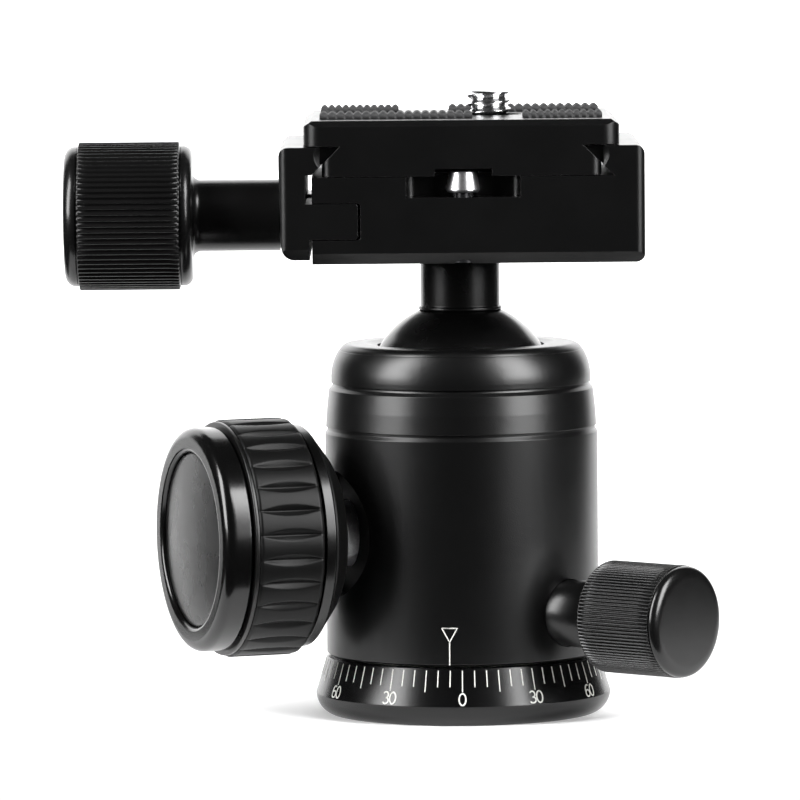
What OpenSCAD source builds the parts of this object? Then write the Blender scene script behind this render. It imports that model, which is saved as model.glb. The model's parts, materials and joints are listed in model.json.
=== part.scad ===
// Tripod ball head: panning base with a degree scale, round housing with a locking knob and a
// pan knob, a ball on a short stem, and a screw clamp that holds a camera plate.
// Millimetres, +Z up. The origin is the middle of the base's underside, and -Y is the front.

/* [Base] */
// Diameter of the base ring at its widest line
base_d = 42.5; // [41:0.5:48]
// Diameter of the face that the head stands on
base_foot_d = 38.8; // [35:0.2:40]
// Height of the widest line above the foot
base_wide_h = 2.9; // [2:0.1:4]
// Height of the base ring
base_h = 8.2; // [7.2:0.2:12]
// Thickness of the base ring's floor
base_floor = 3.4; // [3:0.1:4.4]

/* [Tripod thread] */
// Bore of the 3/8 inch tripod thread, at its tapping size
tripod_bore_d = 7.94; // [6:0.01:9]
// Length of the tripod thread
tripod_thread_l = 10; // [8:0.5:12]
// Wall of the steel thread bush
bush_wall = 2; // [1.5:0.1:2.4]

/* [Pan bearing] */
// Diameter of the spindle that the housing turns on
spindle_d = 20; // [18.4:0.2:21]
// Diameter of the spindle's flange
flange_d = 33; // [30:0.5:35]
// Depth of the vee groove that the pan lock bears in
vee_depth = 1.6; // [1:0.1:1.8]
// Thickness of the glide ring under the housing
glide_t = 0.3; // [0.2:0.05:0.6]
// Thickness of the thrust washer above the housing's floor
thrust_t = 0.8; // [0.6:0.1:1.2]
// Thickness of the retaining ring
clip_t = 0.9; // [0.6:0.1:1.2]
// Diameter of the circle that the spindle screws lie on
spindle_screw_pcd = 24; // [24:0.5:27]
// Thread diameter of the spindle screws
spindle_screw_d = 3; // [2.5:0.5:3.5]

/* [Housing] */
// Outer diameter of the housing
housing_d = 39.3; // [38.5:0.1:41]
// Thickness of the housing's floor
housing_floor = 9.65; // [9.3:0.05:10.6]
// Distance from the rim down to the lower groove
lower_groove_drop = 12.85; // [10:0.05:16]
// Distance from the rim down to the upper groove
upper_groove_drop = 6.55; // [6:0.05:7]
// Depth of the two grooves
groove_depth = 0.35; // [0.2:0.05:0.6]
// Height of the two grooves
groove_w = 0.95; // [0.6:0.05:1.3]
// Radius of the rim's outer edge
rim_round = 1.5; // [0.8:0.1:1.8]
// Thickness of the lip over the upper liner
lip_t = 1.25; // [0.9:0.05:1.5]
// Width of the drop notch, at the back
notch_w = 12.7; // [12.3:0.1:14]

/* [Ball and stem] */
// Diameter of the ball
ball_d = 27.6; // [26.8:0.1:28]
// Height of the housing's rim above the ball's centre
rim_rise = 7.75; // [7.2:0.05:8.4]
// Thickness of the disc that lifts the ball's seat
lifter_t = 1.38; // [1:0.02:2]
// Thickness of the seat and the liner around the ball
seat_wall = 1.25; // [1:0.05:1.4]
// Diameter of the hole through the seat
seat_bore_d = 11.6; // [8:0.2:16]
// Height of the liner's lower edge above the ball's centre
liner_rise = 1.2; // [0.6:0.1:2.4]
// Thickness of the drag spring
spring_t = 0.5; // [0.3:0.05:0.7]
// Diameter of the stem
stem_d = 11.45; // [10:0.05:11.7]
// Distance from the ball's centre to the clamp's underside
stem_l = 20.25; // [20.1:0.05:24]
// Thread diameter of the bolt through the stem
stem_bolt_d = 6; // [5:0.5:6]
// Depth of the bolt's thread below the ball's centre
stem_bolt_reach = 3; // [0:0.5:6]
// Depth of the stem's socket in the clamp
socket_depth = 2; // [1.5:0.1:3]

/* [Main lock] */
// Azimuth of the main lock knob, from the front towards +X
main_azimuth = -69.6; // [-100:0.1:-50]
// Height of the main lock's axis above the housing's underside
main_h = 17.9; // [17.4:0.05:18.1]
// Diameter of the push pin
push_d = 6; // [5:0.1:6.4]
// Slope of the push pin's nose, in degrees
wedge_angle = 20; // [15:1:24]
// Turn of the main lock knob from locked to free, in degrees
main_turn = 270; // [90:10:300]
// Pitch of the main lock's thread
main_pitch = 1.25; // [0.75:0.05:1.25]
// Thread diameter of the main lock's screw
main_thread_d = 8; // [7:0.5:8]
// Diameter of the bright collar behind the knob
collar_d = 9.6; // [8:0.1:10.4]
// Diameter of the flat spot on the housing around the collar
spot_d = 18; // [12:0.2:20]
// Depth of that flat spot below the housing's wall
spot_depth = 2.1; // [0.5:0.05:2.4]
// Gap between the housing and the knob's back flange
main_gap = 1.95; // [1.5:0.05:4]
// Diameter of the rubber grip over its lands
grip_d = 34; // [32.4:0.2:36]
// Length of the rubber grip
grip_l = 9.7; // [7:0.1:14]
// Number of flutes in the grip
grip_flutes = 30; // [12:1:36]
// Depth of a flute at its middle
flute_depth = 0.45; // [0.2:0.05:0.7]
// Width of a flute at its middle
flute_w = 1.4; // [0.8:0.1:2]
// Diameter of the cap
cap_d = 32; // [30:0.1:33]
// Length of the cap
cap_l = 4.3; // [3.6:0.1:6]
// Diameter of the disc in the cap's face
disc_d = 25; // [16:0.2:26]
// Diameter of the rear ring
rear_ring_d = 31.8; // [30:0.1:33]
// Length of the rear ring
rear_ring_l = 2.2; // [1.4:0.1:4]
// Length of the tapered back flange
back_l = 3.2; // [2:0.1:5]
// Smaller diameter of the tapered back flange
back_d = 24; // [16:0.5:28]

/* [Pan lock] */
// Angle between the two lock knobs
knob_spread = 120; // [100:1:150]
// Height of the pan lock's axis above the housing's underside
pan_h = 6.75; // [6.4:0.05:7]
// Diameter of the brake pad
pad_d = 4.8; // [4:0.1:5]
// Thread diameter of the pan lock's screw
pan_thread_d = 6; // [5.2:0.1:6.4]
// Diameter of the pan knob
pan_knob_d = 16; // [12:0.1:17]
// Length of the pan knob's head
pan_knob_l = 14.4; // [10:0.1:20]
// Diameter of the pan knob's neck
pan_neck_d = 9.6; // [8:0.1:11]
// Gap between the housing and the pan knob's head
pan_gap_l = 7.15; // [4:0.05:12]
// Length of the pan knob's plain rim
pan_rim_l = 1.4; // [1:0.05:3]
// Number of ridges on the pan knob
pan_ridges = 94; // [40:2:100]

/* [Clamp] */
// Width of the clamp, from jaw to jaw
clamp_w = 51.9; // [51.2:0.1:56]
// Length of the clamp, front to back
clamp_l = 40; // [38:0.5:50]
// Height of the clamp
clamp_h = 16.65; // [16.4:0.05:18]
// Sideways offset of the clamp from the stem
clamp_offset = 0.2; // [0:0.05:0.4]
// Radius of the clamp's corners
clamp_round = 1.35; // [0.6:0.05:1.6]
// Bevel under the clamp's front and back
clamp_bevel = 1.6; // [0.8:0.1:1.8]
// Depth of the dovetail channel
channel_depth = 4.3; // [4:0.05:4.8]
// Thickness of the movable jaw at its foot
jaw_t = 4.35; // [4:0.05:4.7]
// Gap between the jaw's foot and the body
jaw_gap = 0.35; // [0.25:0.05:0.8]
// How far the jaw leans outwards over its height
jaw_lean = 0.35; // [0:0.05:0.5]
// Radius of the jaw's lower outer edge
jaw_round = 1.9; // [1.2:0.1:2.4]
// Distance from the clamp's underside to the jaw's underside
jaw_lift = 0.6; // [0:0.05:0.8]
// Length of the jaw's guide tongue
tongue_l = 6.85; // [6:0.05:8]
// Height of the jaw's guide tongue
tongue_h = 5.05; // [4.6:0.05:5.4]
// Thread diameter of the clamp screw
clamp_thread_d = 6; // [4:0.1:6]
// Height of the clamp screw's axis above the clamp's underside
clamp_screw_h = 6.1; // [5.9:0.05:6.3]

/* [Clamp knob] */
// Diameter of the clamp knob over its ridges
clamp_knob_d = 21.3; // [16:0.1:24]
// Length of the clamp knob's head
clamp_knob_l = 18.4; // [12:0.1:24]
// Diameter of the clamp knob's neck
clamp_neck_d = 10.3; // [8.6:0.1:10.8]
// Length of the clamp knob's neck
clamp_neck_l = 12.8; // [8:0.1:18]
// Number of ridges on the clamp knob
clamp_ridges = 78; // [40:2:100]

/* [Safety pin] */
// Diameter of the safety pin's head at its foot
pin_head_d = 4.7; // [3.8:0.1:5]
// Diameter of the safety pin's head at its top
pin_top_d = 3.85; // [3:0.05:4.4]
// Height that the pin stands above the channel's floor
pin_rise = 0.8; // [0.5:0.05:0.9]
// Travel of the safety pin
pin_travel = 1.6; // [1.3:0.1:1.6]
// Width of the window in front of the pin
window_w = 16.2; // [9:0.1:20]
// Height of the window
window_h = 2.95; // [2.4:0.05:3]

/* [Camera plate] */
// Width of the plate's slab
plate_w = 44.8; // [43:0.1:48]
// Thickness of the slab
slab_t = 3.55; // [3.2:0.05:5]
// Bevel along the slab's top edge
slab_bevel = 1.2; // [0.4:0.1:1.6]
// Width of the dovetail rail
rail_w = 39.6; // [38.6:0.1:40]
// Height of the rail's upright side
rail_side = 1.7; // [1.4:0.05:2]
// Radius of the plate's corners
plate_round = 2.4; // [1:0.1:4]
// Width of the groove that catches the safety pin
catch_w = 8.15; // [6:0.05:10]
// Length of the groove that catches the safety pin
catch_l = 12; // [11:0.5:13]
// Thickness of the rubber pads
pad_t = 1.05; // [0.6:0.05:1.5]
// Width of a rubber pad, front to back
pad_w = 5.6; // [4:0.1:7]
// Length of the two long pads
pad_long = 21.7; // [16:0.1:24]
// Length of the two short pads
pad_short = 11.3; // [6:0.1:14]
// Distance between the inner edges of the front and back pads
pad_spread = 16; // [10:0.5:20]

/* [Camera screw] */
// Major diameter of the 1/4 inch camera screw
camera_screw_d = 6.35; // [5.5:0.01:6.8]
// Height of the screw above the slab
camera_screw_h = 3.3; // [2.5:0.1:6]
// Diameter of the screw's neck, below its thread
screw_neck_d = 4.8; // [4:0.1:5.2]
// Diameter of the screw's head
screw_head_d = 12.6; // [10:0.1:13]
// Length of the slot that the screw moves in
screw_slot_l = 17.6; // [14:0.1:20]
// Place of the screw along the slot at rest
screw_x = 4.1; // [-4:0.1:5]

/* [Hidden] */
$fn = 96;

// Clearances: pieces that turn or slide, pieces that are fixed, and flat running faces
run_gap = 0.05;
seat_gap = 0.02;
face_gap = 0.05;
cut = 1;

// Base and pan bearing
base_r = base_d / 2;
foot_r = base_foot_d / 2;
bush_r = tripod_bore_d / 2 + bush_wall;
spindle_r = spindle_d / 2;
flange_r = flange_d / 2;
housing_z = base_h + glide_t + face_gap;
floor_z = housing_z + housing_floor;
thrust_z = floor_z + face_gap;
clip_z = thrust_z + thrust_t + face_gap;
spindle_top = clip_z + clip_t + 1;
clip_groove = 0.8;
clip_reach = 1.3;
screw_head_h = spindle_screw_d * 0.55;

// Housing
housing_r = housing_d / 2;
main_z = housing_z + main_h;
push_r = push_d / 2;
push_travel = main_pitch * main_turn / 360;
wedge_rate = tan(wedge_angle);
lifter_drop = push_travel * wedge_rate;
lifter_clear = 0.13;
lifter_z = main_z + push_r + lifter_drop + lifter_clear;
lifter_top = lifter_z + lifter_t;
seat_under = 0.5;
spring_w = 3.45;
ball_r = ball_d / 2;
ball_z = lifter_top + seat_under + ball_r;
rim_z = ball_z + rim_rise;
housing_h = rim_z - housing_z;
lower_groove_z = rim_z - lower_groove_drop;
upper_groove_z = rim_z - upper_groove_drop;
band_r = housing_r - 0.12;
neck_band_r = housing_r - 0.6;
crown_r = housing_r - 0.93;
notch_r = notch_w / 2;
seam_z = upper_groove_z + groove_w;

// Ball, seat and liner
chamber_r = ball_r + seat_wall + run_gap;
lip_z = rim_z - lip_t;
skirt_wall = 1.55;
skirt_l = 5.75;
skirt_r = chamber_r + skirt_wall;
skirt_z = seam_z - skirt_l;
opening_clear = 0.35;
lip_bevel = 0.3;
opening_r = sqrt(pow(ball_r + opening_clear, 2) - pow(rim_rise - lip_bevel, 2));
stem_r = stem_d / 2;
stem_clear = 0.4;
stem_root = sqrt(pow(ball_r, 2) - pow(stem_r, 2));
stem_spigot_r = stem_r - 1.5;
stem_spigot_z = ball_z + 4;
bolt_head_h = stem_bolt_d * 0.43;
clamp_z = ball_z + stem_l;

// Main lock
ring_room = 0.4;
lower_chamber_r = spindle_r + clip_reach + ring_room;
lifter_r = lower_chamber_r - run_gap;
push_in = lower_chamber_r + 2.5;
push_out = lower_chamber_r;
spigot_r = 2;
spigot_l = 1.8;
wedge_out = 6;
wedge_z = main_z + push_r - wedge_out * wedge_rate;
keel_w = 5;
keel_out = 4;
keel_in = 5.4;
main_thread_r = main_thread_d / 2;
main_neck_r = main_thread_r - 1;
collar_in = housing_r - spot_depth - 0.45;
back_z = housing_r + main_gap;
rear_ring_z = back_z + back_l;
grip_z = rear_ring_z + rear_ring_l;
lip_ring_t = 0.6;
cap_z = grip_z + grip_l + lip_ring_t;
knob_face = cap_z + cap_l;
hub_r = min(rear_ring_d, cap_d) / 2 - 1.7;
disc_t = 0.8;
disc_sink = 0.55;

// Pan lock
pan_z = housing_z + pan_h;
pad_r = pad_d / 2;
vee_flat = 0.6;
vee_apex = spindle_r - vee_depth - vee_flat;
pad_tip = spindle_r - vee_depth + 0.35;
pad_out = spindle_r + 4.1;
pan_neck_in = housing_r - 1.45;
pan_head_z = housing_r + pan_gap_l;

// Clamp, in its own frame: z from its underside, x from its middle
rail_r = rail_w / 2;
channel_z = clamp_h - channel_depth;
slab_gap = 0.15;
slab_z = clamp_h + slab_gap;
rail_z = channel_z + 0.1;
rail_wide_z = rail_z + rail_side;
rail_top_r = rail_r - (slab_z - rail_wide_z);
jaw_x = clamp_w / 2;
jaw_inner = jaw_x - jaw_t;
tongue_z = clamp_screw_h - tongue_h / 2;
tongue_end = jaw_inner - tongue_l;
slot_end = tongue_end - 0.35;
tongue_gap = 0.12;
relief_d = 0.55;
scoop_r = 2.4;
scoop_x = (rail_r + rail_top_r) / 2;
scoop_z = (rail_wide_z + slab_z) / 2;
window_d = 4.2;
pin_y = -clamp_l / 2 + 2.7;
pin_x = 0.2;
pin_stem_r = 1.05;
pin_bore_r = 1.65;
pin_head_z = channel_z - 2.3;
pin_guide_z = channel_z - window_h - pin_travel - 1.4;
plug_h = 1.5;
pin_clip_t = 0.5;
pin_clip_z = pin_guide_z - face_gap - pin_clip_t;
jaw_spring_y = 12;
jaw_spring_r = 1.4;
jaw_spring_hole = 5;
washer_t = 0.6;
clamp_screw_in = 4.6;
clamp_neck_z = jaw_x + face_gap;
clamp_head_z = clamp_neck_z + clamp_neck_l;

// Plate, as long as the clamp
plate_l = clamp_l;
plate_top = slab_z + slab_t;
screw_r = camera_screw_d / 2;
screw_neck_r = screw_neck_d / 2;
thread_start = 0.3;
slot_r = screw_r + 0.15;
head_r = screw_head_d / 2;
pocket_r = head_r + 0.3;
pocket_z = slab_z - 0.05;
clip_ring_t = 0.6;
screw_head_t = 2.4;
screw_run = (screw_slot_l - 2 * slot_r) / 2;
pad_margin = 2.3;

// ---- shared shapes ----

// Upright tube from z0, with its outer and inner radius
module tube(r_out, r_in, z0, h)
    translate([0, 0, z0])
        difference() {
            cylinder(r = r_out, h = h);
            translate([0, 0, -cut]) cylinder(r = r_in, h = h + 2 * cut);
        }

// Upright cylinder from z0
module rod(r, z0, h)
    translate([0, 0, z0]) cylinder(r = r, h = h);

// Frame of a lock on the housing: local z points outwards along the knob's axis
module lock_frame(azimuth, height)
    translate([0, 0, height]) rotate([0, 0, azimuth]) rotate([90, 0, 0]) children();

// Frame of the clamp, on top of the stem
module clamp_frame()
    translate([clamp_offset, 0, clamp_z]) children();

// Frame of the clamp knob: local z points along -X
module clamp_axis()
    clamp_frame() translate([0, 0, clamp_screw_h]) rotate([0, -90, 0]) children();

// Outline with round corners, centred in x, from y = 0 up
module round_rect(w, h, r) {
    translate([-w / 2 + r, 0]) square([w - 2 * r, h]);
    translate([-w / 2, r]) square([w, h - 2 * r]);
    for (x = [-w / 2 + r, w / 2 - r], y = [r, h - r])
        translate([x, y]) circle(r);
}

// Outline across X and Z, carried along Y over the length l about the middle
module along_y(l)
    translate([0, l / 2, 0]) rotate([90, 0, 0]) linear_extrude(l) children();

// Straight knurl: a round bar with v-shaped grooves along it
module knurled_bar(r, depth, ridges, z0, h)
    translate([0, 0, z0])
        linear_extrude(h)
            polygon([for (i = [0 : 2 * ridges - 1])
                let (a = 180 * i / ridges, q = i % 2 == 0 ? r : r - depth)
                [q * cos(a), q * sin(a)]]);

// Round disc edge: a cylinder whose rim at the top has the radius f
module filleted_disc(r, h, f)
    rotate_extrude() {
        square([r, h - f]);
        square([r - f, h]);
        intersection() {
            translate([r - f, h - f]) circle(f);
            square([r, h]);
        }
    }

// Closed helical wire about z: mean radius, wire radius, number of turns, pitch
module coil(mean_r, wire_r, turns, pitch) {
    sides = 6;
    steps = 12;
    rings = turns * steps;
    points = [for (i = [0 : rings], k = [0 : sides - 1])
        let (a = 360 * i / steps, b = 360 * k / sides, q = mean_r + wire_r * cos(b))
        [q * cos(a), q * sin(a), pitch * i / steps + wire_r * sin(b)]];
    skin = [for (i = [0 : rings - 1], k = [0 : sides - 1])
        let (p = i * sides + k, n = i * sides + (k + 1) % sides)
        each [[p, n, n + sides], [p, n + sides, p + sides]]];
    start = [for (k = [1 : sides - 2]) [0, k + 1, k]];
    last = rings * sides;
    finish = [for (k = [1 : sides - 2]) [last, last + k, last + k + 1]];
    polyhedron(points, concat(skin, start, finish));
}

// Countersunk hole or head: cone at z = 0 going down, then the shank
module countersink(d, head_h, l, gap = 0) {
    translate([0, 0, -head_h]) cylinder(r1 = d / 2 + gap, r2 = d / 2 + head_h + gap, h = head_h);
    rod(d / 2 + gap, -l, l);
}

// ---- base ----

// Turned ring that stands on the tripod and carries the degree scale
module base_ring() {
    round_r = (pow(base_r - foot_r, 2) + pow(base_wide_h, 2)) / (2 * (base_r - foot_r));
    color([0.09, 0.09, 0.09])
        difference() {
            rotate_extrude()
                difference() {
                    union() {
                        square([base_r - round_r, base_wide_h]);
                        intersection() {
                            translate([base_r - round_r, base_wide_h]) circle(round_r);
                            square([base_r, base_wide_h]);
                        }
                        polygon([[0, base_wide_h], [base_r, base_wide_h],
                            [housing_r, base_h], [0, base_h]]);
                    }
                    translate([0, -cut]) square([bush_r + seat_gap, base_h + 2 * cut]);
                    translate([0, base_floor]) square([flange_r + seat_gap, base_h]);
                }
            spindle_screw_places() rotate([180, 0, 0])
                countersink(spindle_screw_d, screw_head_h, base_h, seat_gap);
        }
}

module spindle_screw_places()
    for (a = [90, 210, 330])
        rotate([0, 0, a]) translate([spindle_screw_pcd / 2, 0, 0]) children();

// Steel bush with the tripod thread
module thread_bush()
    color([0.75, 0.75, 0.76]) tube(bush_r, tripod_bore_d / 2, 0, tripod_thread_l);

// Flanged spindle: the housing turns on it and the pan lock bears in its vee groove
module pan_spindle()
    color([0.7, 0.7, 0.71])
        difference() {
            union() {
                rod(flange_r, base_floor, base_h - base_floor);
                rotate_extrude()
                    difference() {
                        translate([0, base_floor]) square([spindle_r, spindle_top - base_floor]);
                        translate([spindle_r - vee_depth, pan_z])
                            polygon([[0, -vee_flat], [0, vee_flat],
                                [vee_depth + cut, vee_flat + vee_depth + cut],
                                [vee_depth + cut, -vee_flat - vee_depth - cut]]);
                        translate([spindle_r - clip_groove, clip_z - 0.02])
                            square([cut + clip_groove, clip_t + 0.04]);
                    }
            }
            rod(bush_r + seat_gap, base_floor - cut, tripod_thread_l - base_floor + cut + seat_gap);
            spindle_screw_places() rod(spindle_screw_d / 2 + seat_gap, base_floor - cut, base_h);
        }

// Three countersunk screws that hold the base ring to the spindle's flange
module spindle_screws() {
    l = base_h - 0.6;
    color([0.3, 0.3, 0.31])
        spindle_screw_places()
            difference() {
                rotate([180, 0, 0]) countersink(spindle_screw_d, screw_head_h, l);
                translate([0, 0, -cut]) cylinder(d = spindle_screw_d * 0.66, h = cut + 0.9, $fn = 6);
            }
}

// Thin glide ring between the base ring and the housing
module glide_ring()
    color([0.85, 0.85, 0.82]) tube(flange_r + 1, spindle_r + 1.6, base_h, glide_t);

// ---- housing ----

// Outline of the housing, from its underside to the rim's crest
module housing_profile() {
    side_r = 7.3;
    side_z = rim_z - 4.85;
    side_x = crown_r - side_r;
    top_x = side_x + sqrt(pow(side_r, 2) - pow(rim_z - 0.95 - side_z, 2));
    polygon([[0, housing_z], [housing_r - 0.25, housing_z], [housing_r, housing_z + 0.25],
        [housing_r, lower_groove_z], [housing_r - groove_depth, lower_groove_z + groove_w * 0.55],
        [housing_r - groove_depth, lower_groove_z + groove_w], [band_r, lower_groove_z + groove_w],
        [(band_r + neck_band_r) / 2 + 0.04, (lower_groove_z + upper_groove_z + groove_w) / 2],
        [neck_band_r, upper_groove_z],
        [neck_band_r - groove_depth - 0.15, upper_groove_z + groove_w * 0.55],
        [crown_r - groove_depth, upper_groove_z + groove_w], [crown_r, upper_groove_z + groove_w],
        [crown_r, side_z], [0, side_z]]);
    intersection() {
        translate([side_x, side_z]) circle(side_r);
        translate([0, side_z]) square([housing_r, rim_z - 0.95 - side_z]);
    }
    translate([0, side_z]) square([side_x + 0.1, rim_z - 0.95 - side_z]);
    intersection() {
        translate([top_x - rim_round, rim_z - rim_round]) circle(rim_round);
        translate([0, rim_z - 0.951]) square([housing_r, 1]);
    }
    translate([0, rim_z - 0.951]) square([top_x - rim_round, 0.951]);
}

// Round housing: it holds the ball, its seat and both locks, and has a drop notch at the back
module housing()
    color([0.07, 0.07, 0.07])
        difference() {
            rotate_extrude()
                difference() {
                    housing_profile();
                    translate([0, seam_z]) square([housing_r, housing_h]);
                    translate([0, housing_z - cut]) square([spindle_r + run_gap, housing_h]);
                    translate([0, floor_z]) square([lower_chamber_r, housing_h]);
                    translate([0, lifter_top]) square([chamber_r, housing_h]);
                    translate([0, skirt_z]) square([skirt_r + seat_gap, housing_h]);
                }
            lock_frame(main_azimuth, main_z) {
                rod(main_thread_r + run_gap, lower_chamber_r - main_thread_r / 2, housing_r);
                rod(collar_d / 2 + 0.08, collar_in - 0.1, housing_r);
                rod(spot_d / 2, housing_r - spot_depth, housing_r);
                rod(push_r + run_gap, -push_in - 0.3, push_in);
            }
            lock_frame(main_azimuth + knob_spread, pan_z) {
                rod(pad_r + run_gap, spindle_r - cut, housing_r);
                rod(pan_thread_d / 2 + run_gap, pad_out, housing_r);
                rod(pan_neck_d / 2 + 0.08, pan_neck_in - 0.1, housing_r);
            }
            drop_notch();
        }

// Crown ring, screwed into the housing from above: its lip keeps the liner and the ball in
module crown_ring()
    color([0.07, 0.07, 0.07])
        difference() {
            rotate_extrude()
                difference() {
                    union() {
                        intersection() {
                            housing_profile();
                            translate([0, seam_z]) square([housing_r, housing_h]);
                        }
                        translate([0, skirt_z + face_gap])
                            square([skirt_r, seam_z - skirt_z - face_gap]);
                    }
                    square([chamber_r, lip_z]);
                    translate([0, ball_z]) circle(ball_r + opening_clear);
                    translate([0, rim_z - lip_bevel])
                        polygon([[0, -cut], [opening_r, -cut], [opening_r, 0],
                            [opening_r + 1.6, lip_bevel + 0.01], [0, lip_bevel + 0.01]]);
                }
            drop_notch();
        }

// Space that the stem drops into: a slot to the back with a round bottom
module drop_notch() {
    translate([0, 0, ball_z]) rotate([-90, 0, 0]) rod(notch_r, ball_r * 0.5, housing_r);
    translate([-notch_r, ball_r * 0.5, ball_z]) cube([notch_w, housing_r, housing_h]);
}

// Thrust washer above the housing's floor
module thrust_washer()
    color([0.72, 0.6, 0.3])
        tube(lower_chamber_r - ring_room / 2, spindle_r + run_gap, thrust_z, thrust_t);

// Open retaining ring in the spindle's groove
module retaining_ring()
    color([0.55, 0.55, 0.57])
        difference() {
            tube(spindle_r + clip_reach, spindle_r - clip_groove + seat_gap, clip_z, clip_t);
            translate([0, -2, clip_z - cut]) cube([housing_r, 4, clip_t + 2 * cut]);
        }

// Upper liner that the ball bears on, open at the drop notch
module upper_liner()
    color([0.8, 0.8, 0.76])
        difference() {
            rotate_extrude()
                difference() {
                    translate([0, ball_z + liner_rise])
                        square([chamber_r - run_gap, lip_z - seat_gap - ball_z - liner_rise]);
                    translate([0, ball_z]) circle(ball_r + run_gap);
                    translate([0, ball_z - cut]) square([opening_r, housing_h]);
                }
            translate([-notch_r, 0, ball_z - cut]) cube([notch_w, housing_r, housing_h]);
        }

// Height of the push pin's slope above the main lock's axis, at the distance r outwards
function slope_y(r) = wedge_z - main_z + r * wedge_rate;

// Prism across the main lock, from its outline in distance outwards and height
module across(w)
    rotate([0, -90, 0]) linear_extrude(w, center = true) children();

// Disc that lifts the seat: its sloped keel lies on the push pin's slope
module seat_lifter()
    color([0.7, 0.7, 0.71]) {
        rod(lifter_r, lifter_z, lifter_top - lifter_z);
        lock_frame(main_azimuth, main_z) across(keel_w)
            polygon([[keel_out, slope_y(keel_out) + face_gap], [keel_out, lifter_z - main_z],
                [-keel_in, lifter_z - main_z], [-keel_in, slope_y(-keel_in) + face_gap]]);
    }

// Flat spring that keeps the seat on the ball
module drag_spring()
    color([0.6, 0.6, 0.62])
        tube(lifter_r - 0.4, lifter_r - 0.4 - spring_w, lifter_top + face_gap, spring_t);

// Lower seat of the ball
module ball_seat() {
    seat_z = lifter_top + spring_t + 2 * face_gap;
    color([0.8, 0.8, 0.76])
        rotate_extrude()
            difference() {
                translate([0, seat_z]) square([chamber_r - run_gap, ball_z - stem_r - stem_clear - seat_z]);
                translate([0, ball_z]) circle(ball_r + run_gap);
                square([seat_bore_d / 2, ball_z]);
            }
}

// ---- ball and stem ----

// Ball with a flat and a socket for the stem
module ball()
    color([0.06, 0.06, 0.06])
        difference() {
            translate([0, 0, ball_z]) sphere(ball_r, $fn = 128);
            rod(ball_r, ball_z + stem_root, ball_r);
            rod(stem_spigot_r + seat_gap, stem_spigot_z - seat_gap, ball_r);
            rod(stem_bolt_d / 2 + run_gap, ball_z - stem_bolt_reach - 1, ball_r + stem_bolt_reach);
        }

// Stem between the ball and the clamp, with a small collar at the ball
module stem()
    color([0.09, 0.09, 0.09])
        rotate_extrude()
            difference() {
                union() {
                    translate([0, stem_spigot_z]) square([stem_spigot_r, stem_root]);
                    translate([0, ball_z + stem_root])
                        square([stem_r, stem_l + socket_depth - face_gap - stem_root]);
                    translate([0, ball_z + stem_root]) square([stem_r + 0.3, 0.4]);
                }
                translate([0, ball_z]) square([stem_bolt_d / 2 + run_gap, stem_l + socket_depth]);
            }

// ---- main lock ----

// Pin that the main screw pushes inwards: its slope lifts the seat lifter
module push_pin() {
    notch_in = -keel_in - push_travel - 0.3;
    color([0.65, 0.65, 0.67])
        lock_frame(main_azimuth, main_z) {
            difference() {
                rod(push_r, -push_in, push_in + push_out);
                across(push_d + cut)
                    polygon([[notch_in, slope_y(notch_in)], [wedge_out + cut, slope_y(wedge_out + cut)],
                        [wedge_out + cut, push_d], [notch_in, push_d]]);
            }
            rod(spigot_r, push_out, spigot_l);
        }
}

// Threaded spindle of the main lock: it turns on the push pin's spigot
module main_screw()
    color([0.6, 0.6, 0.62])
        lock_frame(main_azimuth, main_z)
            difference() {
                union() {
                    rod(main_thread_r, push_out + face_gap, collar_in - push_out - face_gap);
                    rod(main_neck_r, collar_in, grip_z + grip_l * 0.5 - collar_in);
                }
                rod(spigot_r + run_gap, push_out, spigot_l + face_gap);
            }

// Bright collar between the housing and the knob
module main_collar()
    color([0.75, 0.75, 0.76])
        lock_frame(main_azimuth, main_z)
            tube(collar_d / 2, main_neck_r + seat_gap, collar_in + 0.02, back_z - collar_in - 0.02);

// Tapered flange at the back of the main knob
module knob_back()
    color([0.06, 0.06, 0.06])
        lock_frame(main_azimuth, main_z)
            rotate_extrude()
                polygon([[main_neck_r + seat_gap, back_z], [back_d / 2 - 0.8, back_z],
                    [back_d / 2, back_z + 0.5], [rear_ring_d / 2 - 1.1, rear_ring_z - 0.5],
                    [rear_ring_d / 2 - 0.9, rear_ring_z], [main_neck_r + seat_gap, rear_ring_z]]);

// Polished ring behind the rubber grip
module knob_rear_ring()
    color([0.12, 0.12, 0.12])
        lock_frame(main_azimuth, main_z)
            rotate_extrude()
                polygon([[hub_r + seat_gap, rear_ring_z], [rear_ring_d / 2 - 0.7, rear_ring_z],
                    [rear_ring_d / 2, rear_ring_z + 0.7], [rear_ring_d / 2, grip_z - 0.2],
                    [rear_ring_d / 2 - 0.2, grip_z], [hub_r + seat_gap, grip_z]]);

// Core of the main knob, pressed on the screw
module knob_hub()
    color([0.3, 0.3, 0.3])
        lock_frame(main_azimuth, main_z)
            tube(hub_r, main_neck_r + seat_gap, rear_ring_z, cap_z - rear_ring_z);

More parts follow.
